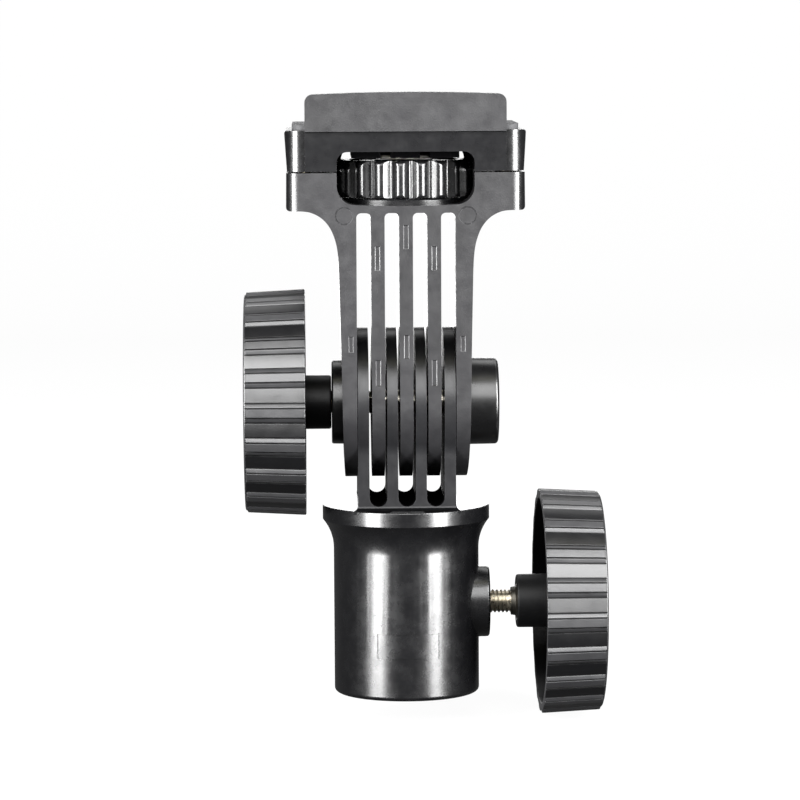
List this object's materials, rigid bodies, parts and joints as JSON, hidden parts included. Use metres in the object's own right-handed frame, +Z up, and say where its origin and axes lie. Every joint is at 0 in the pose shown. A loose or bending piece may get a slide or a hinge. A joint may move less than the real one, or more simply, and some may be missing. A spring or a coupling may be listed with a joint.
{
  "type": "umbrella swivel bracket",
  "caption": "Tilting bracket for a lighting stand: spigot socket with clamp knob, finned friction hinge, and a padded platform with an anti-twist lip and thumbwheel screw.",
  "frame": {"origin": "centre of the spigot seat, the flat ceiling of the socket's bore, on the socket's axis", "axes": "+Z up along the socket's axis to the platform, +X towards the socket's clamp knob, -Y towards the side with the raised lip"},
  "size_m": [0.0898, 0.0566, 0.1563],
  "materials": {
    "moulded_plastic": "satin, lightly mottled glass-filled moulding",
    "knob_plastic": "satin",
    "wheel_plastic": "semi-gloss",
    "zinc_steel": "zinc plated",
    "brass": "machined",
    "nylon": "natural",
    "rubber": "matte with fine ribs"
  },
  "bodies": {
    "stand_socket": {"socket_body": "moulded_plastic", "clamp_insert": "brass"},
    "clamp_shoe": {"clamp_shoe": "brass"},
    "clamp_knob": {"lock_screw": "zinc_steel", "lock_knob_insert": "zinc_steel", "lock_knob": "knob_plastic"},
    "fork": {"tilt_fork": "moulded_plastic", "tilt_bolt": "zinc_steel", "platform_cap": "moulded_plastic", "rubber_pad": "rubber", "wheel_washer": "nylon", "cap_screw_1": "zinc_steel", "cap_screw_2": "zinc_steel", "cap_screw_3": "zinc_steel", "cap_screw_4": "zinc_steel"},
    "hinge_washer": {"tilt_washer": "zinc_steel"},
    "hinge_knob": {"tilt_knob": "knob_plastic", "tilt_knob_insert": "brass"},
    "wheel": {"thumbwheel": "wheel_plastic", "mounting_screw": "zinc_steel"}
  },
  "joints": [
    {"name": "tilt", "type": "hinge", "parent": "stand_socket", "child": "fork", "pos_m": [0, 0, 0.0307], "axis": [1, 0, 0], "range_deg": [-105, 105]},
    {"name": "clamp_travel", "type": "slide", "parent": "stand_socket", "child": "clamp_shoe", "axis": [-1, 0, 0], "range_m": [0, 0.004]},
    {"name": "clamp_turn", "type": "hinge", "parent": "clamp_shoe", "child": "clamp_knob", "pos_m": [0.0335, 0, -0.01985], "axis": [-1, 0, 0], "range_deg": [0, 1440]},
    {"name": "hinge_knob_travel", "type": "slide", "parent": "fork", "child": "hinge_washer", "axis": [-1, 0, 0], "range_m": [0, 0.002]},
    {"name": "hinge_knob_turn", "type": "hinge", "parent": "hinge_washer", "child": "hinge_knob", "pos_m": [-0.0249, 0, 0.0307], "axis": [-1, 0, 0], "range_deg": [0, 720]},
    {"name": "wheel_turn", "type": "hinge", "parent": "fork", "child": "wheel", "pos_m": [0, 0, 0.0867], "axis": [0, 0, 1], "continuous": true}
  ],
  "couplings": [
    {"joint": "clamp_travel", "follows": "clamp_turn", "m_per_rad": 0.00015915},
    {"joint": "hinge_knob_travel", "follows": "hinge_knob_turn", "m_per_rad": 0.00015915}
  ]
}
